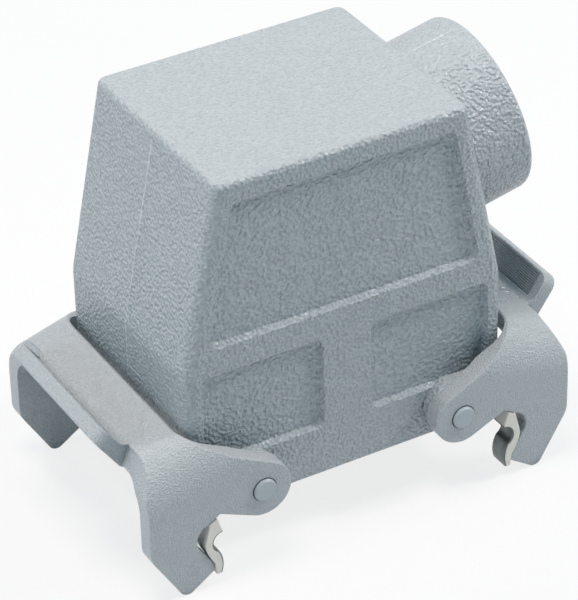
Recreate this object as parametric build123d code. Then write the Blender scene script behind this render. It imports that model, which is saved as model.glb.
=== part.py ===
from build123d import *
import os
from math import atan2, cos, degrees, radians, sin, sqrt, tan

# Heavy duty rectangular connector: a die-cast hood with a side cable entry,
# two locking levers, and the contact insert in its mouth. Millimetres.
# Origin: centre of the mating rim. +Z goes up to the roof, +X to the cable entry,
# and the levers straddle the long sides at the two ends.

# Hood casting, outside
roof_setback = 8.3
side_draft = 0.0
hood_height = 74.6
kink_height = 33.0
kink_radius = 12.0
corner_radius = 2.2
roof_edge_radius = 1.3

# Hood casting, inside
wall = 4.0
roof_wall = 3.4
inner_corner_radius = 2.0

# Recessed panels on the long sides
panel_depth = 1.1
panel_corner_radius = 2.2
panel_wall_slope = 38.0
upper_panel_low = 38.2
upper_panel_high = 70.0
upper_panel_foot_margin = 5.4
upper_panel_head_margin = 3.05
lower_panel_low = 11.0
lower_panel_high = 32.4
lower_panel_inner_x = 5.4
lower_panel_end_margin = 3.3

# Cable entry on the +X end
entry_diameter = 38.6
entry_bore = 32.0
entry_tilt = 12.1
entry_setback = 6.5
entry_axis_height = 54.6
entry_reach = 17.0
entry_root = 4.0
entry_rim_radius = 1.6
entry_lead_in = 1.0

# Pivots of the levers
pivot_setback = 13.3
pivot_z = 6.4
pin_diameter = 5.0
pin_seat_clearance = 0.02
pin_running_clearance = 0.06
pin_bore_depth = 5.0
pin_stand_out = 0.7
pin_end_chamfer = 0.4
pivot_boss_diameter = 11.4
pivot_boss_height = 2.2
lever_side_gap = 0.25

# Levers: plate, web and grip
lever_thickness = 4.0
lever_bend_radius = 10.0
lever_lobe_radius = 6.2
web_end_gap = 1.7
web_corner_radius = 5.0
web_top_height = 21.2
web_slope = 16.0
top_edge_slope = 26.6
lever_outer_reach = 25.7
neck_reach = 23.4
neck_height = 11.6
neck_foot_radius = 4.0
web_crest_setback = 3.0
leg_relief = 0.6
channel_reach = 60.0
lever_edge_radius = 0.4
grip_width = 37.4
grip_height = 6.6
grip_thickness = 3.2
grip_slope = 55.0
grip_crease_reach = 24.5
grip_corner_radius = 2.5
grip_root_radius = 2.6
grip_heel_radius = 1.6
grip_recess_width = 33.0
grip_recess_height = 5.2
grip_recess_depth = 0.5
grip_recess_low = 0.9
grip_rib_count = 11
grip_rib_height = 0.3

# Hook and slot of each leg, measured from the pivot, outwards and up
slot_mouth = (10.0, -2.3)
pocket_centre = (11.9, -7.3)
pocket_radius = 3.45
pocket_start = 73.0
pocket_end = -44.0
finger_wall = (11.95, -13.4)
finger_corner = (11.6, -15.4)
hook_tip = (18.4, -19.9)
hook_heel = (25.7, -7.8)
finger_corner_radius = 1.2
hook_tip_radius = 1.9
hook_heel_radius = 5.0

# Latch strip in each slot
strip_gap = 0.1
strip_overhang = 0.3
strip_tip = (9.9, -6.1)
seat_middle = (12.3, -8.6)
seat_end = (11.0, -11.0)
hump_middle = (10.25, -13.4)
strip_foot = (10.6, -16.3)
strip_thickness = 1.5
strip_head_offset = 0.9
strip_crown_offset = 0.7
strip_back_bulge = (-0.45, -1.9)

# Rim gasket
gasket_inset = 1.1
gasket_width = 1.8
gasket_depth = 1.6
gasket_stand_out = 0.6
gasket_clearance = 0.05

# Contact insert
insert_end_margin = 3.7
insert_side_margin = 1.5
insert_end_room = 0.3
insert_side_room = 3.5
insert_corner_radius = 3.0
flange_top = 23.5
flange_thickness = 3.0
mating_face = 1.5
mating_end_wall = 2.8
mating_side_wall = 4.1
terminal_height = 16.0
terminal_end_wall = 3.25
terminal_side_wall = 2.8
terminal_corner_radius = 1.5
contact_pitch = 7.5
contact_row = 6.0
contacts_per_row = 5
contact_clearance = 0.1
socket_diameter = 3.8
socket_bore = 2.6
socket_bore_depth = 10.0
clamp_width = 5.4
clamp_depth = 7.0
clamp_height = 9.0
wire_hole = 3.0
wire_offset = 1.2
wire_hole_floor = 2.0
clamp_offset = 3.2
clamp_screw_height = 5.0
clamp_screw_diameter = 3.0
clamp_screw_length = 3.0
clamp_screw_sink = 2.2
screw_access_clearance = 0.5
screw_slot_width = 0.8
screw_slot_depth = 0.5

# Screws that hold the insert, and the pillars that take them
screw_head_gap = 0.2
screw_side_margin = 3.5
screw_diameter = 4.0
screw_clearance = 0.2
screw_head_diameter = 7.0
screw_head_height = 2.6
screw_length = 14.0
pillar_diameter = 9.0
pillar_top = 39.5
pillar_rib = 3.0
thread_seat_clearance = 0.02

# Earth terminals
earth_plate_width = 16.0
earth_plate_thickness = 1.4
earth_plate_gap = 3.2
earth_plate_length = 6.2
earth_tongue_width = 6.0
earth_tongue_length = 14.0
earth_tongue_clearance = 0.1
earth_clamp_length = 7.0
earth_clamp_height = 6.0
earth_wire_hole = 2.6
earth_wire_height = 3.4
earth_screw_diameter = 3.0
earth_screw_length = 2.2
earth_screw_head = 5.6
earth_screw_head_height = 1.8
earth_thread_floor = 2.0

# How far a cutting shape runs past the face that it cuts
cut_margin = 1.0

# Worked out from the above: the insert grows with its contacts, and the hood with the insert
terminal_length = contacts_per_row * contact_pitch + 2 * terminal_end_wall
terminal_width = 2 * (contact_row + clamp_offset + clamp_depth / 2 + terminal_side_wall)
mating_length = terminal_length + 2 * mating_end_wall
mating_width = 2 * (contact_row + socket_diameter / 2 + mating_side_wall)
screw_spacing_x = mating_length + screw_head_diameter + 2 * screw_head_gap
insert_length = screw_spacing_x + 2 * insert_end_margin
insert_width = terminal_width + 2 * insert_side_margin
screw_spacing_y = insert_width - 2 * screw_side_margin
earth_plate_inner = terminal_length / 2 + earth_plate_gap
earth_plate_outer = earth_plate_inner + earth_plate_length
rim_length = insert_length + 2 * (wall + insert_end_room)
rim_width = insert_width + 2 * (wall + insert_side_room)
roof_length = rim_length - 2 * roof_setback
roof_width = rim_width - 2 * side_draft
half_length = rim_length / 2
half_width = rim_width / 2
upper_panel_foot = rim_length - 2 * upper_panel_foot_margin
upper_panel_head = roof_length - 2 * upper_panel_head_margin
lower_panel_outer_x = half_length - lower_panel_end_margin
entry_start_x = half_length - entry_setback
pivot_x = half_length - pivot_setback
side_gap = half_width + pivot_boss_height
leg_inner = side_gap + lever_side_gap
leg_outer = leg_inner + lever_thickness
web_inner_x = half_length + web_end_gap
flange_low = flange_top - flange_thickness
ends = ("left", "right")
sides = ("front", "back")
bottom_up = (Align.CENTER, Align.CENTER, Align.MIN)


def polar(radius, angle):
    """Point at an angle in degrees on a circle about the origin."""
    return (radius * cos(radians(angle)), radius * sin(radians(angle)))


def rounded_box(length, width, low, high, radius):
    """Upright block with rounded vertical edges, centred on the Z axis."""
    base = Pos(0, 0, low) * RectangleRounded(length, width, radius)
    return extrude(base, high - low)


def to_end(shape, end):
    """A shape made at the right end, the same on both sides, moved to the named end."""
    if end == "right":
        return shape
    return Rot(0, 0, 180) * shape


def to_corner(shape, end, side):
    """A shape made in the right front corner, moved to the named corner."""
    turned = to_end(shape, end)
    turned_side = "front" if end == "right" else "back"
    if side == turned_side:
        return turned
    return mirror(turned, about=Plane.XZ)


def on_both_sides(shape):
    """A shape made on the -Y side, with its mirror image."""
    return shape + mirror(shape, about=Plane.XZ)


def at_four_corners(shape):
    """A shape made in the +X -Y corner, with its three mirror images."""
    pair = on_both_sides(shape)
    return pair + mirror(pair, about=Plane.YZ)


def casting_block(foot, head, width, roof, height, kink, fold, corner):
    """Block with upright lower walls and ends that lean in above the kink."""
    outline = make_face(
        Polyline(
            (-foot / 2, 0),
            (foot / 2, 0),
            (foot / 2, kink),
            (head / 2, height),
            (-head / 2, height),
            (-foot / 2, kink),
            close=True,
        )
    )
    kinks = outline.vertices().filter_by_position(Axis.Y, kink - 1, kink + 1)
    outline = fillet(kinks, fold)
    section = make_face(
        Polyline(
            (-width / 2, 0), (width / 2, 0), (roof / 2, height), (-roof / 2, height), close=True
        )
    )
    length_way = extrude(Plane.XZ * outline, width, both=True)
    cross_way = extrude(Plane.YZ * section, foot, both=True)
    block = length_way & cross_way
    upright = block.edges().filter_by(
        lambda edge: abs((edge @ 0).Z - (edge @ 1).Z) > 1.0 and abs((edge @ 0).Y) > roof / 2 - 1
    )
    return fillet(upright, corner)


def hood_outside():
    """Outer form of the hood, before the panels and the cable entry."""
    block = casting_block(
        rim_length, roof_length, rim_width, roof_width,
        hood_height, kink_height, kink_radius, corner_radius,
    )
    return fillet(block.edges().group_by(Axis.Z)[-1], roof_edge_radius)


def hood_inside():
    """Hollow of the hood, open at the rim."""
    block = casting_block(
        rim_length - 2 * wall, roof_length - 2 * wall, rim_width - 2 * wall, roof_width - 2 * wall,
        hood_height - roof_wall, kink_height, kink_radius, inner_corner_radius,
    )
    return block


def side_recess(outline):
    """Shallow recess with sloping walls, cut into both long sides."""
    middle = outline.center().Y
    lean = (rim_width - roof_width) / 2 * middle / hood_height
    face_y = half_width - lean
    mouth = Plane.XZ.offset(face_y) * outline
    pocket = extrude(mouth, panel_depth, dir=(0, 1, 0), taper=panel_wall_slope)
    opening = extrude(mouth, cut_margin, dir=(0, -1, 0))
    return on_both_sides(pocket + opening)


def upper_panel():
    """Large panel that narrows towards the roof."""
    outline = make_face(
        Polyline(
            (-upper_panel_foot / 2, upper_panel_low),
            (upper_panel_foot / 2, upper_panel_low),
            (upper_panel_head / 2, upper_panel_high),
            (-upper_panel_head / 2, upper_panel_high),
            close=True,
        )
    )
    return side_recess(fillet(outline.vertices(), panel_corner_radius))


def lower_panels():
    """Two panels near the rim, with a plain band between them."""
    outline = make_face(
        Polyline(
            (lower_panel_inner_x, lower_panel_low),
            (lower_panel_outer_x, lower_panel_low),
            (lower_panel_outer_x, lower_panel_high),
            (lower_panel_inner_x, lower_panel_high),
            close=True,
        )
    )
    panel = side_recess(fillet(outline.vertices(), panel_corner_radius))
    return panel + mirror(panel, about=Plane.YZ)


def entry_plane():
    """Plane across the tilted axis of the cable entry, at its start."""
    direction = (cos(radians(entry_tilt)), 0, sin(radians(entry_tilt)))
    return Plane(origin=(entry_start_x, 0, entry_axis_height), x_dir=(0, 1, 0), z_dir=direction)


def entry_boss():
    """Outside of the cable entry, with a rounded rim."""
    boss = Cylinder(entry_diameter / 2, entry_reach + entry_root, align=bottom_up)
    boss = fillet(boss.edges().group_by(Axis.Z)[-1], entry_rim_radius)
    return entry_plane() * Pos(0, 0, -entry_root) * boss


def entry_hole():
    """Hole of the entry's thread at its full diameter, with a lead-in at the rim."""
    inwards = 2 * wall
    core = Pos(0, 0, -inwards) * Cylinder(
        entry_bore / 2, inwards + entry_reach + cut_margin, align=bottom_up
    )
    lead = Pos(0, 0, entry_reach - entry_lead_in) * Cone(
        entry_bore / 2, entry_bore / 2 + entry_lead_in, entry_lead_in, align=bottom_up
    )
    return entry_plane() * (core + lead)


def crosswise(x, y, z):
    """Plane at a point on the -Y side, facing out along -Y."""
    return Plane(origin=(x, y, z), x_dir=(1, 0, 0), z_dir=(0, -1, 0))


def pivot_bosses():
    """Four round bosses that carry the lever pins."""
    start = half_width - wall / 2
    boss = crosswise(pivot_x, -start, pivot_z) * Cylinder(
        pivot_boss_diameter / 2, side_gap - start, align=bottom_up
    )
    return at_four_corners(boss)


def pin_bores():
    """Four blind bores for the lever pins."""
    radius = pin_diameter / 2 + pin_seat_clearance
    bore = crosswise(pivot_x, -side_gap + pin_bore_depth, pivot_z) * Cylinder(
        radius, pin_bore_depth + cut_margin, align=bottom_up
    )
    return at_four_corners(bore)


def pillars():
    """Four pillars with ribs, which take the screws of the insert."""
    x = screw_spacing_x / 2
    y = -screw_spacing_y / 2
    height = pillar_top - flange_top
    post = Pos(x, y, flange_top) * Cylinder(pillar_diameter / 2, height, align=bottom_up)
    reach = half_width - wall / 2 + y
    rib = Pos(x, y - reach / 2, flange_top) * Box(pillar_rib, reach, height, align=bottom_up)
    return at_four_corners(post + rib)


def pillar_holes():
    """Screw holes in the pillars."""
    radius = screw_diameter / 2 + thread_seat_clearance
    depth = screw_length - flange_thickness + 2 * cut_margin
    hole = Pos(screw_spacing_x / 2, -screw_spacing_y / 2, flange_top - cut_margin) * Cylinder(
        radius, depth, align=bottom_up
    )
    return at_four_corners(hole)


def gasket_ring(inset, width, low, high):
    """Rectangular ring that runs round the rim."""
    outer = rounded_box(
        rim_length - 2 * inset, rim_width - 2 * inset, low, high, corner_radius - inset
    )
    inner = rounded_box(
        rim_length - 2 * (inset + width), rim_width - 2 * (inset + width), low, high,
        max(corner_radius - inset - width, 0.4),
    )
    return outer - inner


def make_hood_shell():
    """The casting, with its hollow, panels, bosses, pillars and gasket groove."""
    body = hood_outside() + entry_boss()
    body -= upper_panel()
    body -= lower_panels()
    body -= hood_inside()
    body += pivot_bosses()
    body += pillars()
    body -= entry_hole()
    body -= pin_bores()
    body -= pillar_holes()
    body -= gasket_ring(gasket_inset, gasket_width, -cut_margin, gasket_depth)
    return body


def make_rim_gasket():
    """Seal that fills the groove and stands a little proud of the rim."""
    return gasket_ring(
        gasket_inset + gasket_clearance, gasket_width - 2 * gasket_clearance,
        -gasket_stand_out, gasket_depth,
    )


def slot_edge():
    """Lines and arc of the slot in a leg, from its mouth to the hook's tip."""
    start = Vector(*pocket_centre) + Vector(*polar(pocket_radius, pocket_start))
    middle = Vector(*pocket_centre) + Vector(*polar(pocket_radius, (pocket_start + pocket_end) / 2))
    end = Vector(*pocket_centre) + Vector(*polar(pocket_radius, pocket_end))
    return [
        Line(slot_mouth, start),
        ThreePointArc(start, middle, end),
        Polyline(end, finger_wall, finger_corner, hook_tip, hook_heel),
    ]


def leg_outline():
    """Side view of a lever, with the pivot at the origin and +X outwards."""
    top = polar(lever_lobe_radius, 90 + top_edge_slope)
    reach = sqrt(slot_mouth[0] ** 2 + slot_mouth[1] ** 2)
    bearing = atan2(slot_mouth[1], slot_mouth[0])
    low_angle = bearing - atan2(sqrt(reach**2 - lever_lobe_radius**2), lever_lobe_radius)
    low = (lever_lobe_radius * cos(low_angle), lever_lobe_radius * sin(low_angle))
    back = polar(lever_lobe_radius, (450 + top_edge_slope + degrees(low_angle)) / 2)
    crest_x = neck_reach - web_crest_setback
    crest = (crest_x, top[1] + (crest_x - top[0]) * tan(radians(top_edge_slope)))
    neck_foot = (lever_outer_reach, neck_height / 2)
    edges = [
        ThreePointArc(top, back, low),
        Line(low, slot_mouth),
        *slot_edge(),
        Line(hook_heel, neck_foot),
        Polyline(neck_foot, (neck_reach, neck_height), (neck_reach, crest[1]), crest, top),
    ]
    outline = make_face(Curve() + edges)
    for point, radius in (
        (finger_corner, finger_corner_radius),
        (hook_tip, hook_tip_radius),
        (hook_heel, hook_heel_radius),
        (neck_foot, neck_foot_radius),
    ):
        corner = outline.vertices().sort_by_distance((point[0], point[1], 0))[0]
        outline = fillet(corner, radius)
    return outline


def web_plane():
    """Plane across the web's slope, at the inner edge of its top face."""
    direction = (cos(radians(web_slope)), 0, -sin(radians(web_slope)))
    return Plane(origin=(web_inner_x, 0, web_top_height), x_dir=(0, 1, 0), z_dir=direction)


def lever_channel():
    """Bent plate: two legs and the web between them, as one channel."""
    low = Align.MAX
    outer = Rectangle(2 * leg_outer, channel_reach, align=(Align.CENTER, low))
    outer = fillet(outer.vertices().group_by(Axis.Y)[-1], lever_bend_radius)
    inner = Pos(0, -lever_thickness) * Rectangle(
        2 * leg_inner, channel_reach, align=(Align.CENTER, low)
    )
    inner = fillet(inner.vertices().group_by(Axis.Y)[-1], lever_bend_radius - lever_thickness)
    return extrude(web_plane() * (outer - inner), channel_reach, both=True)


def web_top_at(reach):
    """Point on the web's top face at a distance from the pivot, in the side view."""
    x = pivot_x + reach
    return Vector(x, web_top_height - (x - web_inner_x) * tan(radians(web_slope)))


def grip_frame():
    """Plane of the grip's inner face, with its origin in the crease."""
    crease = web_top_at(grip_crease_reach)
    inwards = (-sin(radians(grip_slope)), 0, cos(radians(grip_slope)))
    return Plane(origin=(crease.X, 0, crease.Y), x_dir=(0, -1, 0), z_dir=inwards)


def grip_plate():
    """Finger grip that rises from the outer edge of the web."""
    up = Vector(*polar(1, grip_slope))
    out = Vector(*polar(1, grip_slope - 90))
    plate_drop = Vector(0, -lever_thickness / cos(radians(web_slope)))
    root = web_top_at(neck_reach - web_crest_setback)
    crease = web_top_at(grip_crease_reach)
    inner_tip = crease + up * grip_height
    outer_tip = inner_tip + out * grip_thickness
    heel = outer_tip - up * (grip_height + lever_thickness)
    section = make_face(
        Polyline(root, crease, inner_tip, outer_tip, heel, root + plate_drop, close=True)
    )
    for corner, radius in (
        (crease, grip_root_radius),
        (inner_tip, lever_edge_radius),
        (outer_tip, lever_edge_radius),
        (heel, grip_heel_radius),
    ):
        section = fillet(section.vertices().sort_by_distance(corner)[0], radius)
    plate = extrude(Plane.XZ * section, grip_width / 2, both=True)
    face = RectangleRounded(grip_width, 2 * grip_height, grip_corner_radius)
    return plate & extrude(grip_frame() * face, 4 * grip_thickness, both=True)


def grip_recess():
    """Shallow pocket with fine ribs on the inner face of the grip."""
    pocket = Pos(0, grip_recess_low, -grip_recess_depth) * Box(
        grip_recess_width, grip_recess_height, grip_recess_depth + grip_thickness,
        align=(Align.CENTER, Align.MIN, Align.MIN),
    )
    pitch = grip_recess_height / grip_rib_count
    rib = Box(
        grip_recess_width, pitch / 2, grip_rib_height, align=(Align.CENTER, Align.CENTER, Align.MIN)
    )
    for index in range(grip_rib_count):
        pocket -= Pos(0, grip_recess_low + pitch * (index + 0.5), -grip_recess_depth) * rib
    return grip_frame() * pocket


def hood_clearance():
    """Room that a lever leaves round the hood."""
    return rounded_box(
        2 * web_inner_x, 2 * (leg_inner - leg_relief), -channel_reach, hood_height, web_corner_radius
    )


def lever_bore():
    """Running bore for the pins, through both legs."""
    radius = pin_diameter / 2 + pin_running_clearance
    bore = Cylinder(radius, 4 * leg_outer)
    return Pos(pivot_x, 0, pivot_z) * Rot(90, 0, 0) * bore


def on_outer_skin(edge):
    """Whether an edge lies on the outer face of the bent plate."""
    bend_x = leg_outer - lever_bend_radius
    for share in (0.1, 0.5, 0.9):
        point = web_plane().to_local_coords(edge @ share)
        across = max(abs(point.X) - bend_x, 0)
        above = max(point.Y + lever_bend_radius, 0)
        if abs(sqrt(across**2 + above**2) - lever_bend_radius) > 0.01:
            return False
    return True


def along_web_slope(edge):
    """Whether an edge only borders the bend, along the web's slope."""
    line = ((edge @ 1) - (edge @ 0)).normalized()
    return abs(line.dot(web_plane().z_dir)) > 0.999


def make_lever(end):
    """One locking lever, with legs, web, hooks and ribbed grip."""
    side_view = Plane.XZ * Pos(pivot_x, pivot_z) * leg_outline()
    blank = extrude(side_view, 2 * leg_outer, both=True)
    lever = lever_channel() & blank
    lever -= hood_clearance()
    rims = [edge for edge in lever.edges() if on_outer_skin(edge) and not along_web_slope(edge)]
    lever = fillet(rims, lever_edge_radius)
    lever += grip_plate()
    lever -= grip_recess()
    lever -= lever_bore()
    return to_end(lever, end)


def make_pivot_pin(end, side):
    """Plain pin that sits in the hood and carries one leg of a lever."""
    inner = side_gap - pin_bore_depth
    length = leg_outer + pin_stand_out - inner
    pin = Cylinder(pin_diameter / 2, length, align=bottom_up)
    pin = chamfer(pin.edges().group_by(Axis.Z)[-1], pin_end_chamfer)
    pin = crosswise(pivot_x, -inner, pivot_z) * pin
    return to_corner(pin, end, side)


def strip_outline():
    """Side view of a latch strip, with the pivot at the origin."""
    slope = atan2(
        pocket_centre[1] + pocket_radius * sin(radians(pocket_start)) - slot_mouth[1],
        pocket_centre[0] + pocket_radius * cos(radians(pocket_start)) - slot_mouth[0],
    )
    head_x = slot_mouth[0] + strip_head_offset
    head = (head_x, slot_mouth[1] + (head_x - slot_mouth[0]) * tan(slope) - strip_gap)
    crown_x = pocket_centre[0] + strip_crown_offset
    crown = (crown_x, slot_mouth[1] + (crown_x - slot_mouth[0]) * tan(slope) - strip_gap)
    seat_back = (seat_middle[0] + strip_thickness, seat_middle[1])
    back_middle = (seat_back[0] + strip_back_bulge[0], seat_back[1] + strip_back_bulge[1])
    waist = (finger_wall[0] - strip_gap, finger_wall[1])
    foot_back = (finger_corner[0] - strip_gap, strip_foot[1])
    edges = [
        Line(head, strip_tip),
        ThreePointArc(strip_tip, seat_middle, seat_end),
        ThreePointArc(seat_end, hump_middle, strip_foot),
        Polyline(strip_foot, foot_back, (finger_corner[0] - strip_gap, finger_corner[1]), waist),
        ThreePointArc(waist, back_middle, seat_back),
        Line(seat_back, crown),
        Line(crown, head),
    ]
    return make_face(Curve() + edges)


def make_latch_strip(end, side):
    """Plastic strip in the slot, with a round seat and a hump below it."""
    outline = Plane.XZ.offset(leg_inner - strip_overhang) * Pos(pivot_x, pivot_z) * strip_outline()
    strip = extrude(outline, lever_thickness + 2 * strip_overhang)
    return to_corner(strip, end, side)


def contact_places():
    """Places of the contacts, row by row."""
    places = []
    for row in (-1, 1):
        for index in range(contacts_per_row):
            x = (index - (contacts_per_row - 1) / 2) * contact_pitch
            places.append((x, row * contact_row))
    return places


def clamp_centre(y):
    """Distance from the middle of the insert to the middle of a clamp."""
    return y + clamp_offset * (1 if y > 0 else -1)


def contact_room(x, y):
    """Chamber in the insert for one contact and its screw."""
    gap = contact_clearance
    socket = Pos(x, y, mating_face - cut_margin) * Cylinder(
        socket_diameter / 2 + gap, flange_top - mating_face + 2 * cut_margin, align=bottom_up
    )
    chamber = Pos(x, clamp_centre(y), flange_top) * Box(
        clamp_width + 2 * gap, clamp_depth + 2 * gap, terminal_height + cut_margin, align=bottom_up
    )
    outward = 1 if y > 0 else -1
    screw = Pos(x, y + outward * terminal_width / 2, flange_top + clamp_screw_height) * Rot(90, 0, 0)
    access = screw * Cylinder(
        clamp_screw_diameter / 2 + screw_access_clearance, terminal_width - 2 * contact_row
    )
    return socket + chamber + access


def make_contact_insert():
    """Moulded body with a flange, a mating block and a terminal block."""
    body = rounded_box(insert_length, insert_width, flange_low, flange_top, insert_corner_radius)
    body += rounded_box(mating_length, mating_width, mating_face, flange_low, insert_corner_radius)
    body += rounded_box(
        terminal_length, terminal_width, flange_top, flange_top + terminal_height,
        terminal_corner_radius,
    )
    for x, y in contact_places():
        body -= contact_room(x, y)
    hole = Pos(screw_spacing_x / 2, -screw_spacing_y / 2, flange_low - cut_margin) * Cylinder(
        screw_diameter / 2 + screw_clearance, flange_thickness + 2 * cut_margin, align=bottom_up
    )
    body -= at_four_corners(hole)
    for end in ends:
        body -= to_end(earth_tongue(earth_tongue_clearance), end)
    return body


def make_contact(x, y):
    """Socket contact with its screw clamp."""
    outward = 1 if y > 0 else -1
    socket = Pos(x, y, mating_face) * Cylinder(
        socket_diameter / 2, flange_top - mating_face, align=bottom_up
    )
    bore = Pos(x, y, mating_face - cut_margin) * Cylinder(
        socket_bore / 2, socket_bore_depth + cut_margin, align=bottom_up
    )
    clamp = Pos(x, clamp_centre(y), flange_top) * Box(
        clamp_width, clamp_depth, clamp_height, align=bottom_up
    )
    wire_y = clamp_centre(y) - outward * wire_offset
    wire = Pos(x, wire_y, flange_top + wire_hole_floor) * Box(
        wire_hole, wire_hole, clamp_height, align=bottom_up
    )
    face = clamp_centre(y) + outward * clamp_depth / 2
    tapped = Pos(x, face, flange_top + clamp_screw_height) * Rot(90, 0, 0) * Cylinder(
        clamp_screw_diameter / 2 + thread_seat_clearance, clamp_depth
    )
    return socket + clamp - bore - wire - tapped


def make_terminal_screws():
    """Ten small clamp screws with slots."""
    screws = []
    for x, y in contact_places():
        outward = 1 if y > 0 else -1
        face = clamp_centre(y) + outward * clamp_depth / 2
        rod = Pos(x, face, flange_top + clamp_screw_height) * Rot(-90 * outward, 0, 0)
        shank = Pos(0, 0, -clamp_screw_sink) * Cylinder(
            clamp_screw_diameter / 2, clamp_screw_length, align=bottom_up
        )
        slot_floor = clamp_screw_length - clamp_screw_sink - screw_slot_depth
        slot = Pos(0, 0, slot_floor) * Box(
            2 * clamp_screw_diameter, screw_slot_width, 2 * screw_slot_depth, align=bottom_up
        )
        screws.append(rod * (shank - slot))
    return Compound(children=[screw.solid() for screw in screws])


def earth_tongue(extra):
    """Contact tongue of an earth plate, with extra room on each side."""
    return Pos(earth_plate_inner - extra, 0, flange_top + earth_plate_thickness) * Box(
        earth_plate_thickness + 2 * extra, earth_tongue_width + 2 * extra,
        earth_tongue_length + earth_plate_thickness + extra,
        align=(Align.MIN, Align.CENTER, Align.MAX),
    )


def make_earth_plate(end):
    """Earth plate on the flange, with a clamp block and a tongue."""
    length = earth_plate_outer - earth_plate_inner
    middle = (earth_plate_outer + earth_plate_inner) / 2
    plate = Pos(middle, 0, flange_top) * Box(
        length, earth_plate_width, earth_plate_thickness, align=bottom_up
    )
    block = Pos(middle, 0, flange_top) * Box(
        length, earth_clamp_length, earth_clamp_height, align=bottom_up
    )
    wire = Pos(middle, 0, flange_top + earth_wire_height) * Rot(0, 90, 0) * Cylinder(
        earth_wire_hole / 2, 2 * length
    )
    tapped = Pos(middle, 0, flange_top + earth_thread_floor) * Cylinder(
        earth_screw_diameter / 2 + thread_seat_clearance, earth_clamp_height, align=bottom_up
    )
    return to_end(plate + block + earth_tongue(0) - wire - tapped, end)


def slotted_screw(radius, length, head_radius, head_height):
    """Screw with its head on the origin plane, above it, and the shank below."""
    shank = Cylinder(radius, length, align=(Align.CENTER, Align.CENTER, Align.MAX))
    head = Cylinder(head_radius, head_height, align=bottom_up)
    head = chamfer(head.edges().group_by(Axis.Z)[-1], head_height / 4)
    slot = Pos(0, 0, head_height / 2) * Box(
        3 * head_radius, screw_slot_width, head_height, align=bottom_up
    )
    return shank + head - slot


def make_earth_screws():
    """Two clamp screws of the earth terminals."""
    middle = (earth_plate_outer + earth_plate_inner) / 2
    screw = slotted_screw(
        earth_screw_diameter / 2, earth_screw_length, earth_screw_head / 2, earth_screw_head_height
    )
    right = Pos(middle, 0, flange_top + earth_clamp_height) * screw
    return Compound(children=[to_end(right, end).solid() for end in ends])


def make_insert_screws():
    """Four screws that hold the insert against the pillars."""
    screw = slotted_screw(screw_diameter / 2, screw_length, screw_head_diameter / 2, screw_head_height)
    x = screw_spacing_x / 2
    y = screw_spacing_y / 2
    screws = []
    for corner in ((x, y), (x, -y), (-x, y), (-x, -y)):
        screws.append((Pos(*corner, flange_low) * Rot(180, 0, 0) * screw).solid())
    return Compound(children=screws)


def make_parts():
    """All nodes by name."""
    parts = {"hood_shell": make_hood_shell(), "rim_gasket": make_rim_gasket()}
    for end in ends:
        parts[f"lever_{end}"] = make_lever(end)
        parts[f"earth_plate_{end}"] = make_earth_plate(end)
        for side in sides:
            parts[f"pivot_pin_{end}_{side}"] = make_pivot_pin(end, side)
            parts[f"latch_strip_{end}_{side}"] = make_latch_strip(end, side)
    parts["contact_insert"] = make_contact_insert()
    for number, (x, y) in enumerate(contact_places(), start=1):
        parts[f"contact_{number}"] = make_contact(x, y)
    parts["terminal_screws"] = make_terminal_screws()
    parts["earth_screws"] = make_earth_screws()
    parts["insert_screws"] = make_insert_screws()
    return parts


os.makedirs("parts", exist_ok=True)
for name, shape in make_parts().items():
    export_step(shape, f"parts/{name}.step")
    size = shape.bounding_box().size
    print(f"{name}: {size.X:.1f} x {size.Y:.1f} x {size.Z:.1f} mm, {shape.volume:.0f} mm3")
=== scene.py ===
# %% [markdown]
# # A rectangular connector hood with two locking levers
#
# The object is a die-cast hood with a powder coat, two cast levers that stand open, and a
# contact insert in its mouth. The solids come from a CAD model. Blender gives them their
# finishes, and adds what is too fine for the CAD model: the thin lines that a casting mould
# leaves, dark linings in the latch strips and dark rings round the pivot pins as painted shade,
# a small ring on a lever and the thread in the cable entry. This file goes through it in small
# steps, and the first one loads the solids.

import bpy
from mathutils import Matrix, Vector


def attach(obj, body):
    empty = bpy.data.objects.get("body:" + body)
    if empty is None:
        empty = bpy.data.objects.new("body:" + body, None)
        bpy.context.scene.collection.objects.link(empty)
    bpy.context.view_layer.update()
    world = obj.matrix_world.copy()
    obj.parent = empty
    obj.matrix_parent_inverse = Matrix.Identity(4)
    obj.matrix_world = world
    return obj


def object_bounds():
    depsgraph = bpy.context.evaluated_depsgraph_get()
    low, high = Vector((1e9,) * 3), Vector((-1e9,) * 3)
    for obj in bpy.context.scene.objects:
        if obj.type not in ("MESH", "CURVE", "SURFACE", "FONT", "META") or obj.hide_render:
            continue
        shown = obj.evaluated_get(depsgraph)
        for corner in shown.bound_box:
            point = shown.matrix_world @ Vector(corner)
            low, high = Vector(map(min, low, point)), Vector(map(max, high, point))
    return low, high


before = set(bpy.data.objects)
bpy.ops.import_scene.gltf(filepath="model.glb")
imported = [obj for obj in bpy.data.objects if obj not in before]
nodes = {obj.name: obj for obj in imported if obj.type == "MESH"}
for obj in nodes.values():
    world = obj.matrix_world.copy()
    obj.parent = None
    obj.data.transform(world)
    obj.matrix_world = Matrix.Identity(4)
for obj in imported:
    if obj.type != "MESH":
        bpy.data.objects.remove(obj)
print("nodes loaded:", len(nodes))

# %% [markdown]
# ## Units and the box of the model
#
# Blender works in metres here, as the CAD model does, but the sizes of a connector are easier
# to read in millimetres. So they are written in millimetres and multiplied by MM. The CAD
# model's box is noted now, because nothing that is added later may stick out of it.

# %% Modules and the CAD box
from math import cos, pi, radians, sin, tau

import bmesh
import bpy
from mathutils import Matrix, Vector
from mathutils.bvhtree import BVHTree

MM = 0.001
cad_low, cad_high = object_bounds()
print("CAD box in mm:", [round(edge / MM, 1) for edge in (*cad_low, *cad_high)])

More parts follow.
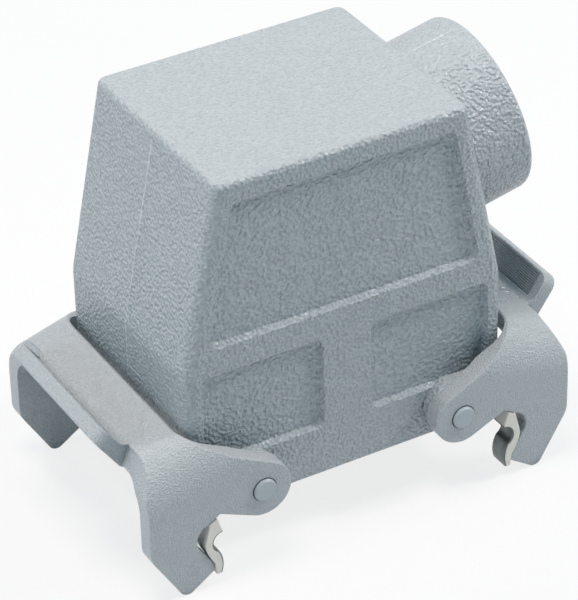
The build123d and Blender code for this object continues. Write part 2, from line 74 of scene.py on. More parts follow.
# %% [markdown]
# ## The camera
#
# A photograph's straight edges tell where its camera stood. Here it stood about 0.7 m away,
# to the left of the long side and well above it, with a long lens, so that parallel edges
# hardly meet. A camera could be placed by hand until the edges agree, or worked out from the
# edges once. The second way was chosen, and its result is written as a place, a point that
# it looks at and a small roll.

# %% Camera
IMAGE_WIDTH, IMAGE_HEIGHT = 578, 600
CAMERA_PLACE = Vector((-277.2, -494.3, 402.7)) * MM
CAMERA_TARGET = Vector((-6.4, -12.7, 35.0)) * MM
CAMERA_ROLL = radians(-1.43)
FOCAL_LENGTH_PX = 3345.0
SENSOR_MM = 36.0
NEAREST_SEEN, FARTHEST_SEEN = 0.01, 50.0


def make_camera():
    """A camera at the photograph's place. The sensor's width is the picture's long side."""
    data = bpy.data.cameras.new("photo_camera")
    data.sensor_width = SENSOR_MM
    data.lens = FOCAL_LENGTH_PX * SENSOR_MM / max(IMAGE_WIDTH, IMAGE_HEIGHT)
    data.clip_start = NEAREST_SEEN
    data.clip_end = FARTHEST_SEEN
    camera = bpy.data.objects.new("photo_camera", data)
    bpy.context.scene.collection.objects.link(camera)
    aim = (CAMERA_TARGET - CAMERA_PLACE).to_track_quat("-Z", "Y")
    turn = Matrix.Rotation(CAMERA_ROLL, 4, "Z")
    camera.matrix_world = Matrix.Translation(CAMERA_PLACE) @ aim.to_matrix().to_4x4() @ turn
    bpy.context.scene.camera = camera
    return camera


camera = make_camera()
print("lens in mm:", round(camera.data.lens, 1))

# %% [markdown]
# ## Shader maths in plain Python
#
# A material in Blender is a net of nodes. Wiring dozens of them by hand hides the idea behind
# the wires, so one small class wraps a socket and lets Python's own signs add the Math nodes.
# `1 - mask` then makes a Subtract node.

# %% Wire


class Wire:
    """An output socket, with the arithmetic that the finishes use."""

    def __init__(self, finish, socket):
        self.finish = finish
        self.socket = socket

    def math(self, operation, first, second):
        return self.finish.node("Math", {"operation": operation}, {0: first, 1: second})

    def __add__(self, other):
        return self.math("ADD", self, other)

    __radd__ = __add__

    def __sub__(self, other):
        return self.math("SUBTRACT", self, other)

    def __rsub__(self, other):
        return self.math("SUBTRACT", other, self)

    def __mul__(self, other):
        return self.math("MULTIPLY", self, other)

    __rmul__ = __mul__


print("signs that a Wire knows: + - *")

# %% [markdown]
# ## A material under construction
#
# Every other kind of node comes from one method, `node`. It takes the node's kind, its
# settings, and a value or a wire for each socket. The methods below it only shorten what the
# finishes ask for most: a mix of two colours, a ramp between two levels, and the end of the
# material in a Principled BSDF, Blender's all-round surface.

# %% Finish


class Finish:
    """A material while it is being made, with the nodes that it has so far."""

    def __init__(self, name, owner=None):
        self.material = owner or bpy.data.materials.new(name)
        self.material.use_nodes = True
        self.tree = self.material.node_tree
        self.tree.nodes.clear()

    def node(self, kind, settings=None, inputs=None, out=0):
        """Adds a node: first its settings, then the values or wires of its sockets."""
        made = self.tree.nodes.new("ShaderNode" + kind)
        for name, value in (settings or {}).items():
            if name == "stops":
                self.set_stops(made.color_ramp, value)
            else:
                setattr(made, name, value)
        for name, value in (inputs or {}).items():
            if isinstance(value, Wire):
                self.tree.links.new(value.socket, made.inputs[name])
            else:
                made.inputs[name].default_value = value
        return Wire(self, made.outputs[out]) if made.outputs else made

    @staticmethod
    def set_stops(ramp, stops):
        """Gives a ramp its two stops, each a place and a grey level."""
        for element, (place, level) in zip(ramp.elements, stops):
            element.position = place
            element.color = (level, level, level, 1.0)

    def ramp(self, value, low, high):
        """0 where the value is below low, 1 where it is above high."""
        return self.node("ValToRGB", {"stops": ((low, 0.0), (high, 1.0))}, {"Fac": value})

    def mix(self, factor, first, second):
        """Mixes two colours."""
        sockets = {0: factor, 6: first, 7: second}
        return self.node("Mix", {"data_type": "RGBA"}, sockets, out=2)

    def surface(self, **values):
        """Ends the material in a Principled BSDF. An underscore stands for a space."""
        inputs = {name.replace("_", " "): value for name, value in values.items()}
        shader = self.node("BsdfPrincipled", {}, inputs)
        self.node("OutputMaterial", {}, {"Surface": shader})
        return self.material


print("helpers ready:", Wire.__name__, Finish.__name__)

# %% [markdown]
# ## Grain and relief
#
# Nothing cast, plated or moulded is quite smooth. Its small relief could be sculpted, but it
# is a fraction of a millimetre deep, so it is a bump: a noise texture tilts the direction in
# which the surface faces. A Bevel node rounds the last sharp edges before the bump, as paint
# or plating does.

# %% Grain and relief
BEVEL_SAMPLES = 6


def rounded_normal(finish, radius):
    """The surface's direction with its sharp edges softened over a radius in metres."""
    return finish.node("Bevel", {"samples": BEVEL_SAMPLES}, {"Radius": radius})


def grain(finish, size, detail=2.0, distortion=0.0):
    """Noise whose lumps are about as large as the size, in metres, in the object's space."""
    place = finish.node("TexCoord", out="Object")
    inputs = {
        "Vector": place, "Scale": 1.0 / size, "Detail": detail,
        "Roughness": 0.5, "Distortion": distortion,
    }
    return finish.node("TexNoise", {}, inputs)


def relief(finish, height, depth, bevel, strength=1.0):
    """A bump as deep as depth, in metres, on edges rounded over the bevel's radius."""
    inputs = {
        "Strength": strength, "Distance": depth, "Height": height,
        "Normal": rounded_normal(finish, bevel),
    }
    return finish.node("Bump", {}, inputs)


print("bevel samples:", BEVEL_SAMPLES)

# %% [markdown]
# ## Painted highlights on edges and painted shade in creases
#
# Sharp edges are painted pale as a painted highlight, and inside corners are painted dark as
# painted shade. Painting both by hand would take a mask for each piece.
# Two nodes find them instead. An edge is where the bevelled direction leaves the true one,
# and a crease is where Ambient Occlusion finds something close by.

# %% Edges and creases
EDGE_HIGHLIGHT_GREY = (0.90, 0.92, 0.93, 1.0)
EDGE_HIGHLIGHT_REACH = 0.30 * MM
EDGE_HIGHLIGHT_STRENGTH = 0.85
EDGE_HIGHLIGHT_RAMP = (0.01, 0.14)
VALLEY_SHARE, PEAK_SHARE = 0.35, 0.65
CREASE_SHADE_GREY = (0.20, 0.24, 0.26, 1.0)
CREASE_SHADE_DEPTH = 0.55
CREASE_SHADE_RAMP = (0.10, 0.60)
CREASE_SAMPLES = 8


def edge_highlight_share(finish, radius):
    """0 on flat and gently curved places, rising to 1 on a sharp edge."""
    bevelled = rounded_normal(finish, radius)
    plain = finish.node("NewGeometry", out="Normal")
    agreement = finish.node(
        "VectorMath", {"operation": "DOT_PRODUCT"}, {0: bevelled, 1: plain}, out="Value"
    )
    return finish.ramp(1 - agreement, *EDGE_HIGHLIGHT_RAMP)


def crease_shade_share(finish, reach):
    """0 in the open, rising to 1 in a narrow inside corner or gap."""
    settings = {"samples": CREASE_SAMPLES}
    openness = finish.node("AmbientOcclusion", settings, {"Distance": reach}, out="AO")
    return finish.ramp(1 - openness, *CREASE_SHADE_RAMP)


def paint_edge_highlight_and_crease_shade(finish, colour, peaks, reach):
    """Paints a highlight pale on the peaks along sharp edges, and paints shade dark into creases.
    """
    # Painted highlight: sharp edges are mixed towards a pale grey, most on the grain's peaks.
    share = edge_highlight_share(finish, EDGE_HIGHLIGHT_REACH) * (VALLEY_SHARE + peaks * PEAK_SHARE)
    pale = finish.mix(share * EDGE_HIGHLIGHT_STRENGTH, colour, EDGE_HIGHLIGHT_GREY)
    # Painted shade: creases that Ambient Occlusion finds are mixed towards a dark grey.
    return finish.mix(crease_shade_share(finish, reach) * CREASE_SHADE_DEPTH, pale, CREASE_SHADE_GREY)


print("pale edges reach in mm:", round(EDGE_HIGHLIGHT_REACH / MM, 2))

# %% [markdown]
# ## The powder coat of the hood
#
# Powder coat starts as dust that melts on the hot casting and flows together. Where it is
# thick it keeps a hammered grain of small dimples, about 0.7 mm apart. Two noise textures
# make it, one for the dimples and one for the fine skin between them. On the flat roof the
# coat levels itself, so the relief is weaker where the surface faces up. A second, paler and
# smoother coat is for the thin parting lines that come later.

# %% Hood coat
HOOD_GREY = (0.480, 0.525, 0.547, 1.0)
HOOD_HOLLOW_SHADE_GREY = (0.415, 0.460, 0.485, 1.0)
RIDGE_GREY = (0.70, 0.74, 0.76, 1.0)
DIMPLE_SIZE, SKIN_SIZE, FLOW_SIZE = 0.70 * MM, 0.3 * MM, 9.0 * MM
DIMPLE_WEIGHT, SKIN_WEIGHT = 0.8, 0.2
ROOF_RELIEF, SIDE_RELIEF_MORE = 0.55, 0.45
HOOD_RELIEF, RIDGE_RELIEF = 1.0 * MM, 0.2 * MM
HOOD_BEVEL = 0.12 * MM
HOOD_CREASE_SHADE_REACH = 0.6 * MM
HOLLOW_SHADE_RAMP = (0.36, 0.62)
PEAK_RAMP = (0.50, 0.60)
HOOD_ROUGHNESS = 0.19
FLOW_ROUGHNESS = 0.06


def make_hood_coat(name, depth, greys):
    """The hood's coat: how deep its dimples are, its grey, and the darker grey painted into the
    dimples' hollows as painted shade.
    """
    finish = Finish(name)
    dimples = grain(finish, DIMPLE_SIZE, detail=0.0)
    skin = grain(finish, SKIN_SIZE, detail=0.0)
    flow = grain(finish, FLOW_SIZE)
    facing = finish.node("TexCoord", out="Normal")
    upright = 1 - finish.node("SeparateXYZ", {}, {0: facing}, out="Z")
    levelling = ROOF_RELIEF + upright * SIDE_RELIEF_MORE
    height = (dimples * DIMPLE_WEIGHT + skin * SKIN_WEIGHT) * levelling
    # Painted shade: the dimples' hollows are mixed towards the darker grey, less on the roof, where
    # the relief is weaker.
    low = (1 - finish.ramp(dimples, *HOLLOW_SHADE_RAMP)) * levelling
    peaks = finish.ramp(dimples, *PEAK_RAMP)
    # The base colour carries painted highlights on sharp edges and painted shade in creases.
    return finish.surface(
        Base_Color=paint_edge_highlight_and_crease_shade(finish, finish.mix(low, *greys), peaks, HOOD_CREASE_SHADE_REACH),
        Roughness=HOOD_ROUGHNESS + flow * FLOW_ROUGHNESS,
        Normal=relief(finish, height, depth, HOOD_BEVEL),
    )


hood_coat = make_hood_coat("hood_coat", HOOD_RELIEF, (HOOD_GREY, HOOD_HOLLOW_SHADE_GREY))
ridge_coat = make_hood_coat("ridge_coat", RIDGE_RELIEF, (RIDGE_GREY, HOOD_GREY))
print("made", hood_coat.name, "and", ridge_coat.name)

# %% [markdown]
# ## The levers' coat
#
# The levers are smaller castings with a thinner coat: the same grey, but a little lighter
# and with a fine sandy grain instead of dimples. The same helpers make it, with other sizes.

# %% Lever coat
LEVER_GREY = (0.520, 0.555, 0.572, 1.0)
LEVER_GREY_LOW = (0.465, 0.500, 0.518, 1.0)
SAND_SIZE, LEVER_FLOW_SIZE = 0.36 * MM, 6.0 * MM
SAND_RAMP = (0.38, 0.60)
LEVER_RELIEF = 0.34 * MM
LEVER_BEVEL = 0.15 * MM
LEVER_CREASE_SHADE_REACH = 3.0 * MM
LEVER_ROUGHNESS = 0.25


def make_lever_coat():
    """The levers' coat: sand that shows in its colour and its relief."""
    finish = Finish("lever_coat")
    sand = grain(finish, SAND_SIZE, detail=1.0)
    flow = grain(finish, LEVER_FLOW_SIZE)
    speckle = finish.ramp(sand, *SAND_RAMP)
    colour = finish.mix(speckle, LEVER_GREY_LOW, LEVER_GREY)
    # The base colour carries painted highlights on sharp edges and painted shade in creases, such
    # as the groove beside the grip.
    return finish.surface(
        Base_Color=paint_edge_highlight_and_crease_shade(finish, colour, speckle, LEVER_CREASE_SHADE_REACH),
        Roughness=LEVER_ROUGHNESS + flow * FLOW_ROUGHNESS,
        Normal=relief(finish, sand, LEVER_RELIEF, LEVER_BEVEL),
    )


lever_coat = make_lever_coat()
print("made", lever_coat.name, "with", len(lever_coat.node_tree.nodes), "nodes")

# %% [markdown]
# ## Bare metal: screws, contacts and earth plates
#
# Small steel parts are plated. Plating isn't a mirror: it shows drawn lines and cloudy
# patches. One function makes every metal from its colours, its roughness and the size of its
# marks, so that they look related but not the same.

# %% Metals
CLOUD_SIZE = 3.0 * MM
CLOUD_RAMP = (0.35, 0.65)
METAL_RELIEF = 0.012 * MM
METAL_BEVEL = 0.15 * MM
MARK_ROUGHNESS = 0.12


def make_metal(name, colour, dull_colour, roughness, mark_size):
    """Plated metal with cloudy patches and fine marks."""
    finish = Finish(name)
    cloud = grain(finish, CLOUD_SIZE, detail=4.0)
    marks = grain(finish, mark_size, distortion=0.4)
    patches = finish.ramp(cloud, *CLOUD_RAMP)
    return finish.surface(
        Base_Color=finish.mix(patches, dull_colour, colour), Metallic=1.0,
        Roughness=roughness + marks * MARK_ROUGHNESS,
        Normal=relief(finish, marks, METAL_RELIEF, METAL_BEVEL, strength=0.5),
    )


screw_metal = make_metal(
    "zinc_plate", (0.72, 0.72, 0.70, 1), (0.55, 0.56, 0.56, 1), 0.26, 0.3 * MM
)
earth_metal = make_metal(
    "earth_plate", (0.74, 0.70, 0.60, 1), (0.58, 0.55, 0.48, 1), 0.30, 0.4 * MM
)
contact_metal = make_metal(
    "silver_plate", (0.86, 0.83, 0.76, 1), (0.70, 0.66, 0.58, 1), 0.18, 0.2 * MM
)
print("made", screw_metal.name, earth_metal.name, contact_metal.name)

# %% [markdown]
# ## The pivot pins
#
# The four pivot pins were coated together with the casting, so they are grey too, but their
# turned ends are smoother than the levers. A thin coat over steel reads as a grey paint that
# is a little metallic.

# %% Pin coat
PIN_GREY = (0.440, 0.500, 0.530, 1.0)
PIN_GREY_LOW = (0.380, 0.430, 0.460, 1.0)
PIN_GRAIN_SIZE = 0.5 * MM
PIN_RELIEF = 0.04 * MM
PIN_BEVEL = 0.25 * MM
PIN_METALLIC = 0.25
PIN_ROUGHNESS, PIN_GRAIN_ROUGHNESS = 0.36, 0.1


def make_pin_coat():
    """The pins' coat, with hardly any relief."""
    finish = Finish("pin_coat")
    skin = grain(finish, PIN_GRAIN_SIZE)
    return finish.surface(
        Base_Color=finish.mix(skin, PIN_GREY_LOW, PIN_GREY), Metallic=PIN_METALLIC,
        Roughness=PIN_ROUGHNESS + skin * PIN_GRAIN_ROUGHNESS,
        Normal=relief(finish, skin, PIN_RELIEF, PIN_BEVEL, strength=0.6),
    )


pin_coat = make_pin_coat()
print("made", pin_coat.name)

# %% [markdown]
# ## Plastics and rubber
#
# The latch strips are an unfilled engineering plastic in its natural beige. Light goes a
# little way into it, so it gets some subsurface scattering. The insert is glass-filled and
# paler, with a spark-eroded grain, and the seal is black rubber with a dusty bloom.

# %% Plastics
PLASTIC_CLOUD_SIZE = 7.0 * MM
PLASTIC_BEVEL = 0.2 * MM
MOULD_ROUGHNESS = 0.1
SCATTER_RADIUS = (0.8 * MM, 0.6 * MM, 0.4 * MM)


def make_plastic(name, colour, shade, roughness, size, depth, scatter=0.0):
    """Moulded plastic: a fine grain from the mould, and faint clouds in the colour."""
    finish = Finish(name)
    mould = grain(finish, size, detail=3.0)
    cloud = grain(finish, PLASTIC_CLOUD_SIZE, detail=3.0)
    return finish.surface(
        Base_Color=finish.mix(cloud, shade, colour),
        Roughness=roughness + mould * MOULD_ROUGHNESS,
        Normal=relief(finish, mould, depth, PLASTIC_BEVEL, strength=0.6),
        Subsurface_Weight=scatter, Subsurface_Radius=SCATTER_RADIUS, Subsurface_Scale=1.0,
    )


strip_plastic = make_plastic(
    "latch_beige", (0.90, 0.85, 0.78, 1), (0.84, 0.78, 0.70, 1), 0.34, 0.6 * MM, 0.02 * MM, 0.15
)
insert_plastic = make_plastic(
    "insert_grey", (0.60, 0.585, 0.53, 1), (0.53, 0.515, 0.46, 1), 0.46, 0.25 * MM, 0.03 * MM
)
seal_rubber = make_plastic(
    "seal_rubber", (0.035, 0.036, 0.038, 1), (0.022, 0.022, 0.024, 1), 0.62, 0.3 * MM, 0.03 * MM
)
print("made", strip_plastic.name, insert_plastic.name, seal_rubber.name)

# %% [markdown]
# ## Dressing the CAD nodes
#
# Each node of the CAD model keeps its mesh. Only its material slots change, so a small list
# of name beginnings is enough to give every node its finish.

# %% Finishes by node
FINISHES = {
    "hood_shell": hood_coat,
    "lever_": lever_coat,
    "pivot_pin_": pin_coat,
    "latch_strip_": strip_plastic,
    "rim_gasket": seal_rubber,
    "contact_insert": insert_plastic,
    "contact_": contact_metal,
    "terminal_screws": screw_metal,
    "insert_screws": screw_metal,
    "earth_screws": screw_metal,
    "earth_plate_": earth_metal,
}


def dress(name, node):
    """Gives a node the finish of the longest beginning that fits its name."""
    fitting = [start for start in FINISHES if name.startswith(start)]
    node.data.materials.clear()
    node.data.materials.append(FINISHES[max(fitting, key=len)])


for node_name, node in nodes.items():
    dress(node_name, node)
print("dressed", len(nodes), "nodes")

# %% [markdown]
# ## Small pieces made of rows of points
#
# All the pieces that follow are rows of points with faces between them, like the rungs and
# gaps of a ladder. Three helpers do the common work: one lays the faces, one turns the
# points and faces into a mesh, and one puts the mesh in the scene. That last one also says
# which CAD body the piece rides on, so that it moves with its lever.

# %% Rows to pieces


def bridge(mesh, rows, around=False, closed=False, smooth=True):
    """Faces between neighbouring rows. Around closes each row, closed joins last and first."""
    following = rows[1:] + (rows[:1] if closed else [])
    for first, second in zip(rows, following):
        for side in range(len(first) if around else len(first) - 1):
            after = (side + 1) % len(first)
            face = mesh.faces.new((first[side], second[side], second[after], first[after]))
            face.smooth = smooth


def mesh_data(name, mesh):
    """Turns the points and faces into a mesh whose faces all look outwards."""
    bmesh.ops.recalc_face_normals(mesh, faces=mesh.faces)
    data = bpy.data.meshes.new(name)
    mesh.to_mesh(data)
    mesh.free()
    return data


def add_piece(name, data, material, body, slot):
    """Puts a new mesh in the scene, riding on a CAD body."""
    piece = bpy.data.objects.new(name, data)
    bpy.context.scene.collection.objects.link(piece)
    piece.data.materials.append(material)
    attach(piece, body)
    print(name, "has", len(data.polygons), "faces")


print("helpers ready:", bridge.__name__, mesh_data.__name__, add_piece.__name__)

# %% [markdown]
# ## Finding a surface with rays
#
# A small piece has to lie exactly on the casting. Its place could be copied from the CAD
# sizes, but a ray is simpler: it starts well outside, flies towards the mesh, and brings
# back the point that it hits and the direction in which the surface faces there.

# %% Rays
FAR = 200.0


def ray_tree(node_name):
    """A node's mesh, ready for rays."""
    return BVHTree.FromObject(nodes[node_name], bpy.context.evaluated_depsgraph_get())


def surface_points(tree, starts, direction):
    """Points and normals where parallel rays meet the mesh."""
    hits = [tree.ray_cast(start, direction) for start in starts]
    return [(hit[0], hit[1]) for hit in hits if hit[0] is not None]


print("rays start this far out, in mm:", FAR)

# %% [markdown]
# ## Parting lines
#
# The two halves of a casting mould meet in a plane, and a little metal creeps between them.
# That leaves a thin ridge down both ends of the hood and along the cable entry, which the
# coat only half hides. It could be painted on as a bump, but a ridge that catches light from
# every side is better as geometry, so a strip with a low arch as its section is laid along
# the points that a line of rays hits. Each line below has its two ends, the number of its
# rays and their direction.

# %% Ridge
RIDGE_HALF_WIDTH = 0.20 * MM
RIDGE_HEIGHT = 0.16 * MM
RIDGE_SUNK_SHARE = 0.3
RIDGE_STEPS = 4
PARTING_RUNS = {
    "plain_end": ((-FAR, 0, 0.6), (-FAR, 0, 72.9), 120, (1, 0, 0)),
    "entry_top": ((30.5, 0, FAR), (40.3, 0, FAR), 30, (0, 0, -1)),
    "entry_end": ((FAR, 0, 0.6), (FAR, 0, 34.0), 60, (-1, 0, 0)),
}


def spread(first, last, count):
    """Points evenly spaced between two places in mm, both ends included."""
    return [
        Vector([(a + (b - a) * index / (count - 1)) * MM for a, b in zip(first, last)])
        for index in range(count)
    ]


def ridge_row(mesh, place, normal):
    """The low arch at one point, from side to side along the Y axis."""
    row = []
    for step in range(RIDGE_STEPS + 1):
        angle = pi * step / RIDGE_STEPS
        across = Vector((0, -cos(angle) * RIDGE_HALF_WIDTH, 0))
        lift = normal * (sin(angle) * RIDGE_HEIGHT - RIDGE_HEIGHT * RIDGE_SUNK_SHARE)
        row.append(mesh.verts.new(place + across + lift))
    return row


print("ridge height over the surface in mm:",
      round(RIDGE_HEIGHT * (1 - RIDGE_SUNK_SHARE) / MM, 2))

# %% Parting lines


def add_parting_lines():
    """Ridges on the plain end, along the top of the entry and below it."""
    tree = ray_tree("hood_shell")
    for run, (first, last, count, direction) in PARTING_RUNS.items():
        hits = surface_points(tree, spread(first, last, count), Vector(direction))
        mesh = bmesh.new()
        bridge(mesh, [ridge_row(mesh, place, normal) for place, normal in hits])
        name = f"parting_line_{run}"
        add_piece(name, mesh_data(name, mesh), ridge_coat, "hood", "hood_casting")


add_parting_lines()

# %% [markdown]
# ## Dark linings of painted shade in the latch strips
#
# Where the locking peg slides into a latch strip, the strip's seat lies in shade, and a thin
# dark lining is laid on it as painted shade. It could be one more CAD solid, but it is only
# 0.3 mm thick. It follows the strip's seat and hump: two arcs, each through three points, are
# walked in small steps, and the walk is given a thickness and a width. The points are measured
# in mm from the lever's pivot, outwards and up, so one list serves all four strips.

# %% The path of a lining
PIVOT = Vector((23.2, 0.0, 6.4)) * MM
SEAT_ARC = ((9.9, -6.1), (12.3, -8.6), (11.0, -11.0))
HUMP_ARC = ((11.0, -11.0), (10.25, -13.4), (10.6, -16.3))
ARC_STEPS = 14


def arc_points(first, middle, last):
    """Points along the circle through three points of the side view."""
    first, middle, last = (Vector(point) for point in (first, middle, last))
    chord, rise = middle - first, last - first
    turn = 2 * (chord.x * rise.y - chord.y * rise.x)
    centre = first + Vector((
        (rise.y * chord.length_squared - chord.y * rise.length_squared) / turn,
        (chord.x * rise.length_squared - rise.x * chord.length_squared) / turn,
    ))
    spoke = first - centre
    sweep = spoke.angle_signed(middle - centre) + (middle - centre).angle_signed(last - centre)
    return [
        centre + Matrix.Rotation(-sweep * step / ARC_STEPS, 2) @ spoke
        for step in range(ARC_STEPS + 1)
    ]


lining_path = arc_points(*SEAT_ARC) + arc_points(*HUMP_ARC)[1:]
print("points on the lining's path:", len(lining_path))

# %% Linings
LINING_THICKNESS = 0.32 * MM
LINING_Y = (26.8 * MM, 31.1 * MM)
LINING_CORNERS = ((0, 0), (0, 1), (1, 1), (1, 0))
ENDS = {"left": -1, "right": 1}
SIDES = {"front": -1, "back": 1}

# The lining's near-black metal is painted shade on the strip's seat.
seat_shade_lining = make_metal(
    "seat_shade_lining", (0.20, 0.22, 0.22, 1), (0.13, 0.15, 0.15, 1), 0.38, 0.3 * MM
)


def lining_row(mesh, index, end, side):
    """The lining's four corners at one point of the path."""
    point = lining_path[index]
    before = lining_path[max(index - 1, 0)]
    after = lining_path[min(index + 1, len(lining_path) - 1)]
    along = (after - before).normalized()
    inwards = Vector((along.y, -along.x)) * LINING_THICKNESS
    if inwards.x > 0:
        inwards.negate()
    row = []
    for offset, y in LINING_CORNERS:
        flat = point * MM + inwards * offset
        place = Vector((flat.x, side * LINING_Y[y], flat.y)) + PIVOT
        row.append(mesh.verts.new((end * place.x, place.y, place.z)))
    return row


def add_shade_lining(end_name, side_name):
    """One dark lining of painted shade, closed at both ends of its path."""
    mesh = bmesh.new()
    places = range(len(lining_path))
    rows = [lining_row(mesh, index, ENDS[end_name], SIDES[side_name]) for index in places]
    bridge(mesh, rows, around=True, smooth=False)
    mesh.faces.new(rows[0])
    mesh.faces.new(reversed(rows[-1]))
    name = f"strip_shade_lining_{end_name}_{side_name}"
    add_piece(name, mesh_data(name, mesh), seat_shade_lining, f"lever_{end_name}", "pin_steel")


for end_name in ENDS:
    for side_name in SIDES:
        add_shade_lining(end_name, side_name)

# %% [markdown]
# ## Small rings: the ejector mark and painted shade round the pins
#
# A pin of the mould pushed the right lever out, and left a small round ring on its web, just
# inside the grip, and that ring is given the pins' darker coat as painted shade. Each pivot pin
# has a hair's breadth of room in its lever, and a dark ring is laid round it as painted shade
# for that gap. Both are too small for the CAD model. One function lays a low ring on a face: a
# ray finds the face, and the ring's section is turned round the face's normal.

# %% Rings
RING_STEPS = 48
RING_SECTION = ((-1.0, -0.3), (-0.4, 0.5), (0.4, 0.5), (1.0, -0.3))


def ring_mesh(name, centre, normal, radius, width):
    """A low ring round the normal of a face. Its section is given in widths."""
    tilt = Vector((0, 0, 1)).rotation_difference(normal).to_matrix()
    mesh = bmesh.new()
    rows = []
    for step in range(RING_STEPS):
        angle = tau * step / RING_STEPS
        spoke = Vector((cos(angle), sin(angle), 0))
        offsets = [
            spoke * (radius + out * width) + Vector((0, 0, up * width))
            for out, up in RING_SECTION
        ]
        rows.append([mesh.verts.new(centre + tilt @ offset) for offset in offsets])
    bridge(mesh, rows, closed=True)
    return mesh_data(name, mesh)


print("points in a ring:", RING_STEPS * len(RING_SECTION))

# %% Ejector mark
MARK_RADIUS = 0.95 * MM
MARK_WIDTH = 0.3 * MM
MARK_PLACE = Vector((45.2, -12.2, FAR)) * MM


def add_ejector_mark():
    """The mark on the right lever's web."""
    tree = ray_tree("lever_right")
    (centre, normal), = surface_points(tree, [MARK_PLACE], Vector((0, 0, -1)))
    data = ring_mesh("ejector_mark", centre, normal, MARK_RADIUS, MARK_WIDTH)
    # The mark takes the pins' darker coat, which paints shade into it.
    add_piece("ejector_mark", data, pin_coat, "lever_right", "lever_casting")
    print("mark at", [round(value / MM, 2) for value in centre])


add_ejector_mark()

# %% Pin gaps
GAP_SHADE_RADIUS = 2.62 * MM
GAP_SHADE_WIDTH = 0.11 * MM
GAP_PROBE = PIVOT + Vector((3.4, 0.0, 0.0)) * MM


def add_pin_gap_shade(end_name, side_name):
    """The dark ring of painted shade round one pin, on the outer face of the lever's leg."""
    end, side = ENDS[end_name], SIDES[side_name]
    outside = Vector((end * GAP_PROBE.x, side * FAR * MM, GAP_PROBE.z))
    tree = ray_tree(f"lever_{end_name}")
    (hit, normal), = surface_points(tree, [outside], Vector((0, -side, 0)))
    centre = Vector((end * PIVOT.x, hit.y, PIVOT.z))
    name = f"pivot_gap_shade_{end_name}_{side_name}"
    data = ring_mesh(name, centre, normal, GAP_SHADE_RADIUS, GAP_SHADE_WIDTH)
    # The black rubber finish paints the gap's shade.
    add_piece(name, data, seal_rubber, f"lever_{end_name}", "pin_steel")


for end_name in ENDS:
    for side_name in SIDES:
        add_pin_gap_shade(end_name, side_name)

# %% [markdown]
# ## The thread in the cable entry
#
# The cable gland screws into the entry, so its wall is cut with a metric thread of 1.5 mm
# pitch. A thread could be a row of rings, but a screw line climbs by one pitch in each turn,
# and it shows at the mouth where it runs out. So one strip with a saw-tooth section is wound
# round the axis. It lies on the bore's wall and rises 0.8 mm inwards. The cut was made after
# the coat, so it is bare metal.

# %% The entry's axis and the thread's section
ENTRY_TILT = radians(12.1)
ENTRY_START = Vector((30.0, 0.0, 54.6)) * MM
THREAD_RADIUS = 15.97 * MM
THREAD_DEPTH = 0.8 * MM
THREAD_PITCH = 1.5 * MM
CREST = (0.42, 0.58)
FADING_SHARE = 1 / 20


def entry_point(along, radius, angle):
    """A point of the cable entry, from its place along the axis and round it."""
    axis = Vector((cos(ENTRY_TILT), 0, sin(ENTRY_TILT)))
    up = Vector((-sin(ENTRY_TILT), 0, cos(ENTRY_TILT)))
    spoke = Vector((0, 1, 0)) * cos(angle) + up * sin(angle)
    return ENTRY_START + axis * along + spoke * radius


def thread_section(share):
    """Places and heights of the ridge. It fades in and out over half a turn at each end."""
    depth = THREAD_DEPTH * min(1.0, share / FADING_SHARE, (1 - share) / FADING_SHARE)
    return ((0.0, 0.0), (CREST[0], depth), (CREST[1], depth), (1.0, 0.0))


print("thread radius at the crest in mm:", round((THREAD_RADIUS - THREAD_DEPTH) / MM, 2))

# %% Entry thread
THREAD_FIRST = -1.6 * MM
THREAD_LAST = 15.9 * MM
THREAD_STEPS = 72

thread_metal = make_metal(
    "cut_alloy", (0.62, 0.63, 0.64, 1), (0.50, 0.51, 0.52, 1), 0.32, 0.3 * MM
)


def add_thread():
    """The wound strip, one row of points for each step round the axis."""
    length = THREAD_LAST - THREAD_FIRST - THREAD_PITCH
    count = int(length / THREAD_PITCH * THREAD_STEPS)
    mesh = bmesh.new()
    rows = []
    for step in range(count + 1):
        start = THREAD_FIRST + step / THREAD_STEPS * THREAD_PITCH
        angle = tau * step / THREAD_STEPS
        rows.append([
            mesh.verts.new(entry_point(start + place * THREAD_PITCH, THREAD_RADIUS - height, angle))
            for place, height in thread_section(step / count)
        ])
    bridge(mesh, rows, smooth=False)
    data = mesh_data("entry_thread", mesh)
    add_piece("entry_thread", data, thread_metal, "hood", "hood_casting")
    print("thread turns:", round(count / THREAD_STEPS, 1))


add_thread()

# %% [markdown]
# ## The stage
#
# The object stands on a wide pale floor. A camera ray sees the floor as nearly white, while
# the object's shadow still darkens it: a Mix Shader adds a white glow for camera, glossy and
# see-through rays only, so the glow is seen and mirrored but doesn't light the object. The
# sky works in the same way, with a pale blue light behind its white.

# %% What the camera sees


def seen_by_camera(finish):
    """1 for camera, glossy and transmission rays, and 0 for the rays that light things."""
    camera_ray = finish.node("LightPath", out="Is Camera Ray")
    glossy_ray = finish.node("LightPath", out="Is Glossy Ray")
    through_ray = finish.node("LightPath", out="Is Transmission Ray")
    return camera_ray + glossy_ray + through_ray


print("helper ready:", seen_by_camera.__name__)

# %% Floor
FLOOR_SIZE = 6.0
FLOOR_GLOW = 0.80
FLOOR_WHITE = (0.86, 0.86, 0.86, 1.0)
FLOOR_WHITE_LOW = (0.84, 0.84, 0.84, 1.0)
FLOOR_SPECK_SIZE = 50.0 * MM


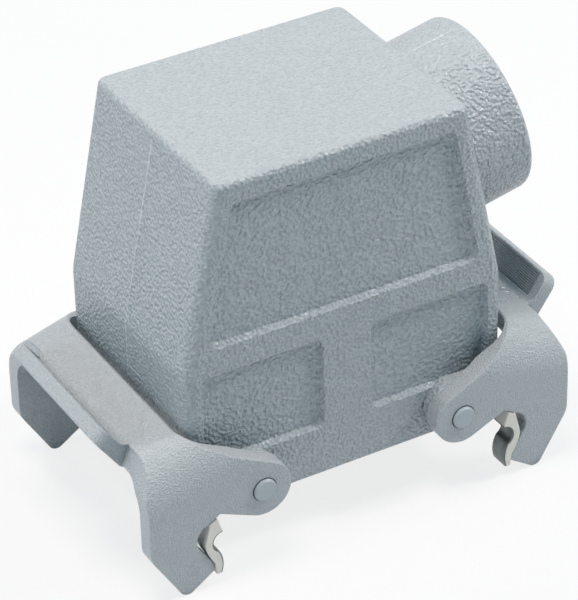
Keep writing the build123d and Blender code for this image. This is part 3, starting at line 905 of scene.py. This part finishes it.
def make_floor():
    """A wide square under the object's lowest point, which is no part of the object."""
    finish = Finish("floor_white")
    colour = finish.mix(grain(finish, FLOOR_SPECK_SIZE), FLOOR_WHITE_LOW, FLOOR_WHITE)
    matt = finish.node("BsdfDiffuse", {}, {"Color": colour})
    glow = finish.node("Emission", {}, {"Color": (1, 1, 1, 1), "Strength": 1.0})
    share = seen_by_camera(finish) * FLOOR_GLOW
    both = finish.node("MixShader", {}, {0: share, 1: matt, 2: glow})
    finish.node("OutputMaterial", {}, {"Surface": both})
    mesh = bmesh.new()
    bmesh.ops.create_grid(mesh, x_segments=2, y_segments=2, size=FLOOR_SIZE / 2)
    data = bpy.data.meshes.new("floor")
    mesh.to_mesh(data)
    mesh.free()
    floor = bpy.data.objects.new("floor", data)
    floor.location.z = cad_low.z
    floor.data.materials.append(finish.material)
    bpy.context.scene.collection.objects.link(floor)


make_floor()
print("floor at z in mm:", round(cad_low.z / MM, 2))

# %% Sky
SKY = (0.28, 0.74, 1.0, 1.0)
SKY_STRENGTH = 0.22


def make_sky():
    """A pale sky that lights the object, and looks white to the camera."""
    world = bpy.data.worlds.new("studio")
    bpy.context.scene.world = world
    finish = Finish("studio", world)
    light = finish.node("Background", {}, {"Color": SKY, "Strength": SKY_STRENGTH})
    white = finish.node("Background", {}, {"Color": (1, 1, 1, 1), "Strength": 1.0})
    both = finish.node("MixShader", {}, {0: seen_by_camera(finish), 1: light, 2: white})
    finish.node("OutputWorld", {}, {"Surface": both})


make_sky()
print("sky strength:", SKY_STRENGTH)

# %% [markdown]
# ## The lamps
#
# In the photograph the roof is the brightest face, the plain end comes next and the long side
# is the darkest. A warm lamp overhead makes the roof bright, two smaller ones behind and to
# the right light the levers' bends and the cable entry, and a weak one low on the left lights
# the plain end. Area lamps stand in for a studio's soft boxes. Their powers and colours were
# set by comparing patches of the render with the same patches of the photograph.

# %% Lamps
OBJECT_CENTRE = Vector((0.0, 0.0, 0.035))
LAMPS = {
    "overhead": ((-0.14, -0.04, 0.90), 0.3, 4.75, (1.0, 0.875, 0.825)),
    "behind": ((-0.19, 0.57, 0.76), 0.12, 1.9, (1.0, 0.94, 0.91)),
    "right": ((0.60, -0.20, 0.60), 0.12, 3.2, (1.0, 0.965, 0.94)),
    "left": ((-0.85, 0.10, 0.20), 0.3, 1.5, (0.88, 0.95, 1.0)),
}


def add_lamp(name, place, size, power, colour):
    """A square area lamp that points at the object. Its place and size are in metres."""
    data = bpy.data.lights.new(name, "AREA")
    data.shape = "SQUARE"
    data.size = size
    data.energy = power
    data.color = colour
    lamp = bpy.data.objects.new(name, data)
    lamp.location = Vector(place)
    lamp.rotation_mode = "QUATERNION"
    lamp.rotation_quaternion = (OBJECT_CENTRE - Vector(place)).to_track_quat("-Z", "Y")
    bpy.context.scene.collection.objects.link(lamp)


for lamp_name, values in LAMPS.items():
    add_lamp(lamp_name, *values)
print("lamps:", *LAMPS)

# %% [markdown]
# ## Colours as written
#
# The Standard view transform shows a colour as it is written, which keeps the object's greys
# comparable with the photograph.

bpy.context.scene.view_settings.view_transform = "Standard"
